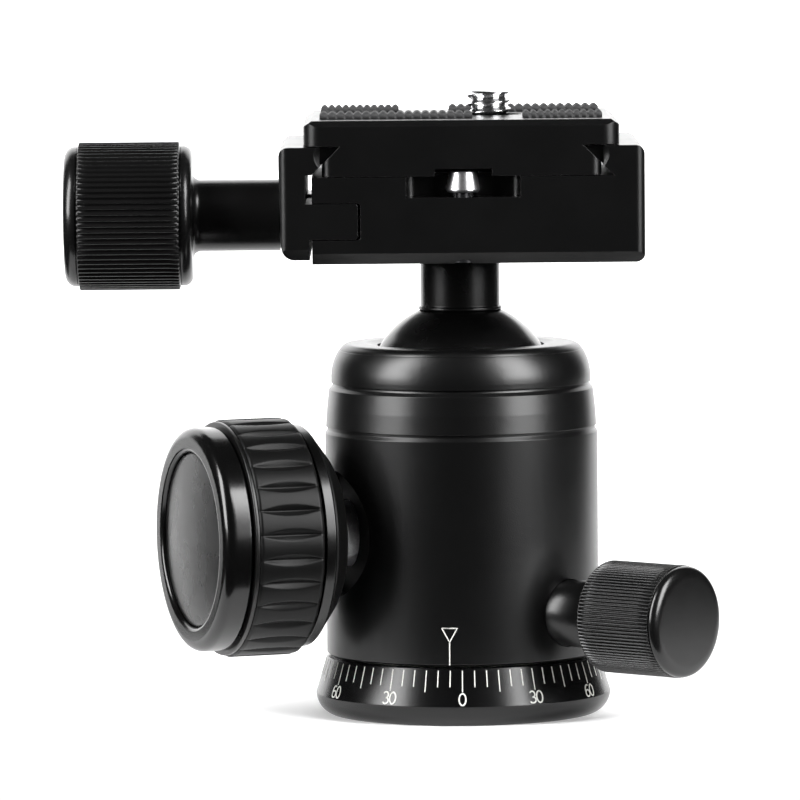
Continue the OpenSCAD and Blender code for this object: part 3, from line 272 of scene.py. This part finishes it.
finish("cap_gloss", (0.0025, 0.0025, 0.0025), 0.17, bump=0.03, blotch=0.02)
finish("disc_satin", (0.008, 0.008, 0.008), 0.28, bump=0.15, rings=0.4, blotch=0.03)
finish("lip_black", (0.004, 0.004, 0.004), 0.3, bump=0.1)
finish("core_plastic", (0.02, 0.02, 0.02), 0.5)
finish("grip_rubber", (0.0035, 0.0035, 0.0035), 0.4, spec=0.18, grain=0.16, bump=0.25, blotch=0.02)
finish("pad_rubber", (0.03, 0.03, 0.031), 0.62, grain=0.12, bump=0.4)
finish("knurl_pan", (0.004, 0.004, 0.004), 0.22, bump=0.05, blotch=0.02)
finish("knurl_clamp", (0.0045, 0.0045, 0.0045), 0.25, bump=0.05, blotch=0.02)
finish("collar_bright", (0.75, 0.75, 0.76), 0.45, metal=1.0, bump=0.1)
finish("alloy", (0.5, 0.5, 0.51), 0.35, metal=1.0, bump=0.1)
finish("steel", (0.42, 0.42, 0.43), 0.3, metal=1.0, bump=0.1)
finish("black_steel", (0.03, 0.03, 0.032), 0.35, metal=0.6, bump=0.1)
finish("spring_steel", (0.4, 0.4, 0.41), 0.25, metal=1.0, bump=0.08)
finish("brass", (0.5, 0.33, 0.12), 0.3, metal=1.0, bump=0.1)
finish("nylon", (0.72, 0.72, 0.68), 0.5, grain=0.2, bump=0.15)
finish("pin_chrome", (0.86, 0.86, 0.87), 0.3, metal=1.0, bump=0.03, blotch=0.03)
finish("screw_chrome", (0.8, 0.8, 0.81), 0.2, metal=1.0, bump=0.05, blotch=0.04)

# ---- Thread bush ----
# The tripod thread shows from below: a real helical thread, cut into the bush. The helpers for turned pieces
# start here: a rounded outline, a frame for its axis, and the grid that is turned round it.


def soften(points, default=0.2, closed=False, steps=4):
    """Outline with round corners: each point is (r, z) or (r, z, fillet). A corner becomes a true arc, with a
    support point on each side of it so that flat faces stay flat in the shading."""
    pts = [tuple(p) + (default,) if len(p) == 2 else tuple(p) for p in points]
    n, out = len(pts), []
    for i, (r, z, f) in enumerate(pts):
        here = np.array((r, z), float)
        if (not closed and i in (0, n - 1)) or f <= 0:
            out.append(here)
            continue
        a, b = np.array(pts[i - 1][:2], float) - here, np.array(pts[(i + 1) % n][:2], float) - here
        la, lb = np.linalg.norm(a), np.linalg.norm(b)
        a, b = a / la, b / lb
        half = math.acos(max(-1.0, min(1.0, float(a @ b)))) / 2
        if half > 1.55:
            out.append(here)
            continue
        t = min(f / math.tan(half), 0.42 * min(la, lb))
        w = math.sin(half)
        p0, p2 = here + a * t, here + b * t
        out.append(here + a * min(1.25 * t, 0.47 * la))
        for s in np.linspace(0, 1, steps + 1):
            k = (1 - s) ** 2, 2 * w * s * (1 - s), s * s
            out.append((k[0] * p0 + k[1] * here + k[2] * p2) / sum(k))
        out.append(here + b * min(1.25 * t, 0.47 * lb))
    return np.array(out)


def arc(r, z, f, a0, a1, n):
    """Points of a true arc of radius f about (r, z)."""
    turn = np.linspace(math.radians(a0), math.radians(a1), n)
    return [(r + f * math.cos(a), z + f * math.sin(a)) for a in turn]


def axis_frame(azimuth, height, x=0.0):
    """Local z points out along the knob's axis and local y is up, as the locks sit on the housing."""
    a = math.radians(azimuth)
    out = Vector((math.sin(a), -math.cos(a), 0))
    side = Vector((0, 0, 1)).cross(out)
    m = Matrix((side, Vector((0, 0, 1)), out)).transposed().to_4x4()
    return Matrix.Translation(Vector((x, 0, height)) * MM) @ m


def build(name, verts, faces, body, slot, stands_for=(), uv=None, smooth=True):
    """Mesh object in the head's own frame, faces outward, riding on its body; stands_for: the CAD nodes that
    it replaces."""
    mesh = bpy.data.meshes.new(name)
    mesh.from_pydata(verts.tolist(), [], faces)
    if uv is not None:
        layer = mesh.uv_layers.new(name="turned")
        loops = np.zeros(len(mesh.loops), int)
        mesh.loops.foreach_get("vertex_index", loops)
        layer.data.foreach_set("uv", uv[loops].astype(np.float32).ravel())
    bm = bmesh.new()
    bm.from_mesh(mesh)
    bmesh.ops.recalc_face_normals(bm, faces=bm.faces)
    bm.to_mesh(mesh)
    bm.free()
    mesh.polygons.foreach_set("use_smooth", [smooth] * len(mesh.polygons))
    mesh.materials.append(FINISH[slot])
    obj = bpy.data.objects.new(name, mesh)
    bpy.context.scene.collection.objects.link(obj)
    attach(obj, body)
    if stands_for:
        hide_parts(*stands_for)


def turned(name, outline, where, body, slot, stands_for=(), around=192, closed=False, radius=None):
    """Turns the outline round local z. closed: the outline is a loop, for rings; otherwise its two ends lie
    on the axis. radius(angle, r, z) may change the radius, for knurls, flutes and threads."""
    outline = np.asarray(outline, float)
    rows = len(outline)
    angle = np.linspace(0, 2 * math.pi, around, endpoint=False)
    r = np.repeat(outline[:, :1], around, 1)
    z = np.repeat(outline[:, 1:2], around, 1)
    a = np.repeat(angle[None, :], rows, 0)
    if radius is not None:
        r = radius(a, r, z)
    grid = np.stack([r * np.cos(a), r * np.sin(a), z], -1)
    run = np.concatenate([[0], np.cumsum(np.linalg.norm(np.diff(outline, axis=0), axis=1))])
    uv = np.stack([a * outline[:, :1].max() * 0.5, np.repeat(run[:, None], around, 1)], -1)
    index = np.arange(rows * around).reshape(rows, around)
    faces = []
    last = rows if closed else rows - 1
    start = 0
    if not closed:
        index[0, :], index[-1, :] = index[0, 0], index[-1, 0]
        faces += [(index[0, 0], index[1, (j + 1) % around], index[1, j]) for j in range(around)]
        faces += [(index[-1, 0], index[-2, j], index[-2, (j + 1) % around]) for j in range(around)]
        start, last = 1, rows - 2
    for i in range(start, last):
        lo, hi = index[i], index[(i + 1) % rows]
        nlo, nhi = np.roll(lo, -1), np.roll(hi, -1)
        faces += list(zip(lo.tolist(), nlo.tolist(), nhi.tolist(), hi.tolist()))
    used = np.unique(np.array([v for f in faces for v in f]))
    remap = -np.ones(rows * around, int)
    remap[used] = np.arange(len(used))
    faces = [tuple(remap[list(f)]) for f in faces]
    flat = grid.reshape(-1, 3)[used] * MM
    m = np.array(where)
    flat = flat @ m[:3, :3].T + m[:3, 3]
    build(name, flat, faces, body, slot, stands_for, uv.reshape(-1, 2)[used])


def thread(pitch, deep, start, end, fade, crest=0.18, inner=False):
    """Radius rule of a helical thread: a triangle wave of the given depth along z that moves on by one pitch
    each turn. Its tips are flattened by crest, and it fades out within fade of start and end."""
    def rule(a, r, z):
        wave = np.abs(((z / pitch - a / (2 * math.pi)) % 1.0) * 2 - 1)
        wave = np.clip((wave - crest) / (1 - 2 * crest), 0, 1)
        edge = np.clip((z - start) / fade, 0, 1) * np.clip((end - z) / fade, 0, 1)
        return r + (deep if inner else -deep) * wave * edge
    return rule


UP = Matrix.Identity(4)


def bush():
    bore, mid, outer, bevel, length = 3.97, 4.6, 5.97, 0.12, 10.0
    inner = [(bore, z) for z in np.linspace(0.25, 9.7, 120)]
    loop = [(mid, 0.0), (outer - bevel, 0.0), (outer, bevel), (outer, length - 0.1), (mid, length)]
    loop += [(bore, 9.8)] + inner[::-1] + [(bore + 0.03, 0.2)]
    rule = thread(1.5875, 0.62, start=0.2, end=9.8, fade=0.3, inner=True)
    turned("tripod_bush", loop, UP, "base", "steel", ["thread_bush"], 96, True,
           lambda a, r, z: np.where(r < bore + 0.005, rule(a, r, z), r))


bush()

# ---- Degree scale on the base ring ----
# White paint a few hundredths of a millimetre proud of the cone: a tick every 5 degrees, a longer one every
# 15, and the numbers 60 30 0 30 60 drawn as single strokes.
SCALE_R = 20.3


def strokes(name, lines, width, surface, body, slot, thick=0.03, sunk=0.05, step=0.3):
    """Painted strokes. lines are lists of flat points (across, up) in mm; surface(across, up, lift) puts a
    flat point on the metal. Each stroke is a thin closed strip."""
    verts, faces = [], []
    for line in lines:
        pts = []
        for p, q in zip(line[:-1], line[1:]):
            p, q = np.array(p, float), np.array(q, float)
            k = max(1, int(np.ceil(np.linalg.norm(q - p) / step)))
            pts += [p + (q - p) * i / k for i in range(k)]
        pts.append(np.array(line[-1], float))
        pts = np.array(pts)
        loop = np.linalg.norm(pts[0] - pts[-1]) < 1e-6
        run = np.gradient(pts, axis=0)
        if loop:
            run[0] = run[-1] = pts[1] - pts[-2]
        run /= np.linalg.norm(run, axis=1)[:, None] + 1e-12
        side = np.stack([-run[:, 1], run[:, 0]], -1) * width / 2
        base = len(verts)
        for p, s in zip(pts, side):
            for off, lift in ((s, thick), (-s, thick), (-s, -sunk), (s, -sunk)):
                verts.append(surface(p[0] + off[0], p[1] + off[1], lift))
        for i in range(len(pts) - 1):
            b = base + 4 * i
            for k in range(4):
                faces.append((b + k, b + (k + 1) % 4, b + 4 + (k + 1) % 4, b + 4 + k))
        e = base + 4 * (len(pts) - 1)
        faces += [(base, base + 3, base + 2, base + 1), (e, e + 1, e + 2, e + 3)]
    build(name, np.array(verts) * MM, faces, body, slot, smooth=False)


def on_cone(across, up, lift):
    """across: arc length at the scale's middle radius; up: height above the foot."""
    foot_r, foot_z, top_r, top_z = 21.25, 2.9, 19.65, 8.2
    r = foot_r + (top_r - foot_r) * (up - foot_z) / (top_z - foot_z) + lift
    a = across / SCALE_R
    return r * math.sin(a), -r * math.cos(a), up


def oval(cx, cy, rx, ry, a0=0, a1=360, n=20):
    """Points of an ellipse, or of its part from a0 to a1 degrees."""
    return [(cx + rx * math.cos(math.radians(a)), cy + ry * math.sin(math.radians(a)))
            for a in np.linspace(a0, a1, n)]


def digit(char, x, y, h):
    """One numeral as strokes, its middle at x and its foot at y."""
    w = h * 0.29
    if char == "0":
        return [oval(x, y + h / 2, w, h / 2)]
    if char == "3":
        return [oval(x, y + h * 0.74, w * 0.85, h * 0.26, 150, -90, 14),
                oval(x, y + h * 0.26, w, h * 0.26, 90, -150, 14)]
    bowl = oval(x, y + h * 0.29, w, h * 0.29)
    back = oval(x + w * 0.2, y + h * 0.42, w * 1.2, h * 0.58, 178, 62, 10)
    return [bowl, back]


def scale():
    per_degree = SCALE_R * math.pi / 180
    turn, tick_top, long_tick, short_tick = -0.8, 7.95, 3.0, 2.3
    number_foot, number_h, number_pitch = 3.15, 1.62, 1.12
    ticks = []
    for d in range(-180, 180, 5):
        x = (d + turn) * per_degree
        ticks.append([(x, tick_top), (x, tick_top - (long_tick if d % 15 == 0 else short_tick))])
    strokes("scale_ticks", ticks, 0.15, on_cone, "base", "nylon")
    numbers = []
    for d in (-60, -30, 0, 30, 60):
        word = str(abs(d))
        for i, char in enumerate(word):
            x = (d + turn) * per_degree + (i - (len(word) - 1) / 2) * number_pitch
            numbers += digit(char, x, number_foot, number_h)
    strokes("scale_numbers", numbers, 0.2, on_cone, "base", "nylon", step=0.15)


scale()

# ---- Pointer on the housing ----
# An open triangle on a stem, standing on the housing's lower edge, over the scale.
WALL_R = 19.65


def on_wall(across, up, lift):
    """across: arc length on the housing's wall; up: height above the foot."""
    a = across / WALL_R
    r = WALL_R + lift
    return r * math.sin(a), -r * math.cos(a), up


def pointer():
    x = -WALL_R * math.radians(6.0)
    half, top, tip, foot = 1.1, 14.0, 12.0, 8.7
    triangle = [(x - half, top), (x + half, top), (x, tip), (x - half, top), (x, top)]
    strokes("pointer", [triangle, [(x, tip + 0.1), (x, foot)]], 0.17, on_wall, "housing", "nylon")


pointer()

# ---- Ball and stem ----
# The ball is turned finely enough for a clean outline, with its flat; the stem has a small collar at its
# foot.


def ball_and_stem():
    ball_r, ball_z, stem_r, bore_r, bore_z = 13.8, 45.6, 5.725, 3.05, 50
    flat = ball_z + math.sqrt(ball_r ** 2 - stem_r ** 2)
    low = [(ball_r * math.cos(a), ball_z + ball_r * math.sin(a))
           for a in np.linspace(-math.pi / 2, math.asin((flat - ball_z) / ball_r), 72)]
    low[0] = (0.0, ball_z - ball_r)
    turned("ball_skin", low + [(bore_r, flat), (bore_r, bore_z), (0.0, bore_z)], UP, "ball", "ball_black",
           ["ball"], 256)
    spigot_r, spigot_z, collar_r, foot, top = 4.2, 49.7, 6.02, flat + 0.03, 67.8
    stem = [(bore_r, spigot_z), (spigot_r, spigot_z, 0.1), (spigot_r, foot, 0), (collar_r, foot, 0.12),
            (collar_r, flat + 0.42, 0.15), (stem_r, flat + 0.55, 0.1), (stem_r, top, 0.1), (bore_r, top)]
    turned("stem_skin", soften(stem, closed=True), UP, "ball", "stem_black", ["stem"], 160, True)


ball_and_stem()

# ---- Main lock knob ----
# From the housing outwards: tapered back flange, polished rear ring, rubber grip with lens-shaped flutes,
# thin lip, polished cap with a rounded rim, and the satin disc sunk in it.
MAIN = axis_frame(-69.6, 26.45)


def main_knob():
    """Heights count outwards from the housing's axis. Each piece starts a seam's width past the one
    before."""
    seam, screw_r, core_r = 0.02, 3.02, 14.3
    back_z, ring_z, grip_z, lip_z, cap_z, top_z = 21.6, 24.8, 27.0, 36.7, 37.3, 41.6
    ring_r, grip_r, lip_r, rim_r, disc_r, well_r, well_z = 15.9, 16.98, 16.7, 16.0, 12.4, 12.55, 40.2
    back = [(screw_r, back_z), (11.2, back_z, 0.2), (12.1, 22.1, 0.3), (14.9, 24.3, 0.2),
            (15.05, ring_z, 0.1), (screw_r, ring_z)]
    turned("knob_back_skin", soften(back, closed=True), MAIN, "main_knob", "knob_back_black", ["knob_back"],
           224, True)
    ring = [(core_r, ring_z + seam), (ring_r - 0.3, ring_z + seam, 0.1), (ring_r, 25.1, 0.1),
            (ring_r, 26.45, 0.1), (15.3, 26.6, 0.1), (15.3, grip_z), (core_r, grip_z)]
    turned("knob_ring_skin", soften(ring, closed=True), MAIN, "main_knob", "ring_gloss", ["knob_rear_ring"],
           224, True)
    count, middle, half_long, half_wide, deep, fall = 30, 31.85, 4.6, 0.88, 0.5, 0.12
    mean_r, inner_r = 17, 16.0
    pitch = 2 * math.pi * mean_r / count

    def flutes(a, r, z):
        """Lens-shaped hollows between crowned lands: each is a shallow vee along and across, so that a
        valley line runs along its middle; the lands fall by 0.12 mm from their middle to the hollows."""
        along = np.clip(1 - ((z - middle) / half_long) ** 2, 0, 1)
        across = np.abs((a * count / (2 * math.pi)) % 1.0 - 0.5) * pitch
        vee = np.clip(1 - across / np.maximum(along * half_wide, 1e-6), 0, 1)
        crown = fall * (1 - across / (pitch / 2)) ** 2
        return np.where(r > inner_r, r - deep * (vee ** 1.1) * np.sqrt(along) - crown, r)
    grip = [(core_r + seam, grip_z + seam), (16.2, grip_z + seam), (16.6, 27.05), (16.85, 27.2)]
    grip += [(grip_r, z) for z in np.linspace(27.5, 36.3, 64)]
    grip += [(16.85, 36.55), (16.6, lip_z), (16.2, lip_z), (core_r + seam, lip_z)]
    turned("grip_skin", grip, MAIN, "main_knob", "grip_rubber", ["knob_grip"], 720, True, flutes)
    lip = [(core_r + seam, lip_z + seam), (lip_r, lip_z + seam, 0.1), (lip_r, 37.25, 0.18),
           (core_r + seam, cap_z - seam)]
    turned("lip_skin", soften(lip, closed=True), MAIN, "main_knob", "lip_black", ["knob_lip"], 224, True)
    rim = [(0, cap_z + seam), (15.6, cap_z + seam, 0.1), (15.75, 37.6, 0.1), (rim_r, 37.75, 0.15),
           (rim_r, top_z, 1.9), (well_r, top_z, 0.9), (well_r, well_z, 0.1), (0, well_z)]
    turned("cap_skin", soften(rim, steps=10), MAIN, "main_knob", "cap_gloss", ["knob_cap"], 256)
    edge_z, crown_h = 40.95, 0.5
    disc = [(0, well_z + seam), (disc_r - 0.1, well_z + seam), (disc_r, well_z + 0.1), (disc_r, edge_z - 0.1)]
    disc += [(r, edge_z + crown_h * (1 - (r / disc_r) ** 2)) for r in np.linspace(disc_r - 0.15, 0, 24)]
    turned("disc_skin", disc, MAIN, "main_knob", "disc_satin", ["knob_disc"], 256)


main_knob()

# ---- Pan lock knob ----
# A fine straight knurl between a bevelled rear edge and a plain rounded rim, on a smooth neck.
PAN = axis_frame(50.4, 15.3)


def knurl(ridges, low, high, deep, fade=0.25):
    """Radius rule of a straight knurl: rounded ridges side by side between low and high, faded at both
    ends."""
    def rule(a, r, z):
        wave = 0.5 - 0.5 * np.cos(a * ridges)
        edge = np.clip((z - low) / fade, 0, 1) * np.clip((high - z) / fade, 0, 1)
        return r - deep * wave ** 1.4 * edge
    return rule


def pan_lock():
    neck_r, head_r, back_z, rim_z, face_z = 4.79, 8.0, 26.8, 40.1, 41.2
    neck = soften([(0, 18.25), (neck_r, 18.25, 0.1), (neck_r, back_z - 0.01, 0), (0, back_z - 0.01)])
    turned("pan_neck_skin", neck, PAN, "pan_knob", "clamp_black", [], 128)
    back = [(0, back_z), (7.3, back_z, 0.25), (7.95, 27.3, 0.2), (head_r, 27.4, 0)]
    outline = soften(back, steps=3).tolist()
    outline += [(head_r, z) for z in np.linspace(27.45, 39.7, 12)]
    groove = [(head_r, 39.75), (7.55, 39.85, 0.08), (7.55, 39.98, 0.08), (7.9, 40.04, 0.1)]
    outline += soften(groove, steps=3).tolist()
    outline += [(6.2 + 1.7 * math.cos(t) ** 0.8, rim_z + 1.1 * math.sin(t) ** 0.9)
                for t in np.linspace(0.05, 1.52, 16)]
    outline += [(6.1, face_z), (0, face_z)]
    ridges = 94
    turned("pan_knob_skin", outline, PAN, "pan_knob", "knurl_pan", ["pan_knob"], ridges * 8, False,
           knurl(ridges, 27.3, 39.8, 0.42))


pan_lock()

# ---- Clamp knob ----
# A broad knurled head with rounded plain rims at both ends, on a neck that flares into it.
CLAMP_AXIS = axis_frame(-90, 71.95, 0.2)


def clamp_lock():
    neck_r, head_r, groove_r, start_z, back_z, face_z = 5.15, 10.65, 10.1, 26.0, 38.57, 57.0
    neck = [(3.1, start_z), (neck_r, start_z, 0.1), (neck_r, back_z, 1.8), (8.0, back_z)]
    outline = [(0, start_z)] + soften(neck, steps=8).tolist()[1:]
    outline += arc(8.75, 39.92, 1.35, -90, 0, 12)
    outline += [(groove_r, 40.25), (groove_r - 0.15, 40.35), (head_r - 0.05, 40.5)]
    outline += [(head_r, z) for z in np.linspace(40.6, 54.8, 12)]
    outline += [(head_r - 0.05, 54.9), (9.9, 55.0), (groove_r, 55.12)]
    outline += arc(8.5, 55.4, 1.6, 0, 90, 16) + [(0, face_z)]
    ridges = 78
    turned("clamp_knob_skin", outline, CLAMP_AXIS, "clamp_knob", "knurl_clamp", ["clamp_knob"], ridges * 10,
           False, knurl(ridges, 40.45, 54.93, 0.42))


clamp_lock()

# ---- Safety pin ----
# Polished head with a slight taper towards its flat top, on a foot that runs in the clamp's bore; the foot's
# dark colour is painted shade.


def safety_pin():
    at = Matrix.Translation(Vector((0.4, -17.3, 65.85)) * MM)
    foot_r, foot_z, head_z, top_z = 1.05, 4.95, 10.05, 13.15
    foot = soften([(0, foot_z), (foot_r, foot_z, 0.15), (foot_r, head_z - 0.02, 0.05), (0, head_z - 0.02)])
    # The foot's dark steel colour is painted shade: it stands for the shade inside the clamp's window.
    turned("pin_foot_skin", foot, at, "pin", "black_steel", [], 64)
    head = [(0, head_z), (2.2, head_z, 0.3), (2.35, 10.4, 0.25), (1.95, top_z, 0.3), (0, top_z)]
    turned("safety_pin_skin", soften(head, steps=6), at, "pin", "pin_chrome", ["safety_pin"], 128)


safety_pin()

# ---- Rubber pads ----
# Each pad is one sheet of pointed bumps: a height field of rounded pyramids over a thin base, with the rows
# carried down its sides.


def pad(name, x0, y0, x1, y1, pitch, node):
    """Height of the pad: its base, and a bump in each square cell, highest at the cell's middle. The sides
    are drawn in a little between the bumps. x is counted from the clamp's middle."""
    plate_z, base, bump, draw_in, clamp_x, per = 86.2, 0.63, 0.4, 0.12, 0.2, 10
    nx, ny = max(1, round((x1 - x0) / pitch)), max(1, round((y1 - y0) / pitch))
    u, v = np.linspace(0, nx, nx * per + 1), np.linspace(0, ny, ny * per + 1)
    uu, vv = np.meshgrid(u, v)
    cone = (np.abs(np.cos(math.pi * (uu - 0.5))) ** 0.9) * (np.abs(np.cos(math.pi * (vv - 0.5))) ** 0.9)
    top = plate_z + base + bump * cone
    gx, gy = x0 + (x1 - x0) * uu / nx, y0 + (y1 - y0) * vv / ny
    dip_x = draw_in * np.abs(np.cos(math.pi * vv)) ** 2
    dip_y = draw_in * np.abs(np.cos(math.pi * uu)) ** 2
    gx = gx + np.where(uu == 0, dip_x, 0) - np.where(uu == nx, dip_x, 0)
    gy = gy + np.where(vv == 0, dip_y, 0) - np.where(vv == ny, dip_y, 0)
    upper = np.stack([gx + clamp_x, gy, top], -1)
    lower = upper.copy()
    lower[..., 2] = plate_z + 0.01
    rows, cols = uu.shape
    verts = np.concatenate([upper.reshape(-1, 3), lower.reshape(-1, 3)]) * MM
    idx = np.arange(rows * cols).reshape(rows, cols)
    off = rows * cols
    faces = []
    corners = [c.ravel().tolist() for c in (idx[:-1, :-1], idx[:-1, 1:], idx[1:, 1:], idx[1:, :-1])]
    for a, b, c, d in zip(*corners):
        faces.append((a, b, c, d))
        faces.append((d + off, c + off, b + off, a + off))
    ring = np.concatenate([idx[0, :], idx[1:, -1], idx[-1, -2::-1], idx[-2:0:-1, 0]]).tolist()
    for a, b in zip(ring, ring[1:] + ring[:1]):
        faces.append((a, a + off, b + off, b))
    build(name, verts, faces, "plate", "pad_rubber", [node])


def pads():
    """A long and a short pad in front, and a short and a long one behind."""
    side, near, far, fine, coarse = 20.1, 8.0, 13.6, 1.0, 1.23
    pad("pad_front_left_skin", -side, -far, 1.6, -near, coarse, "pad_front_left")
    pad("pad_front_right_skin", 8.8, -far, side, -near, fine, "pad_front_right")
    pad("pad_back_left_skin", -side, near, -8.8, far, fine, "pad_back_left")
    pad("pad_back_right_skin", -1.6, near, side, far, coarse, "pad_back_right")


pads()

# ---- Camera screw ----
# The 1/4 inch thread, 1.27 mm in pitch, runs up from a plain neck to a bevelled end. The slotted head under
# the plate isn't drawn.


def camera_screw():
    at = Matrix.Translation(Vector((4.3, 0, 0)) * MM)
    thread_r, neck_r, foot_z, top_z = 3.175, 2.4, 81.6, 89.72
    outline = [(0, foot_z), (neck_r, foot_z), (neck_r, 86.3), (2.7, 86.5)]
    outline += [(thread_r, z) for z in np.linspace(86.55, 89.4, 96)]
    outline += [(2.75, 89.55), (2.2, 89.7), (0, top_z)]
    rule = thread(1.27, 0.72, start=86.3, end=90.5, fade=0.5, crest=0.1)
    turned("camera_screw_skin", outline, at, "screw", "screw_chrome", ["camera_screw"], 192, False,
           lambda a, r, z: np.where(r > 2.9, rule(a, r, z), r))


camera_screw()
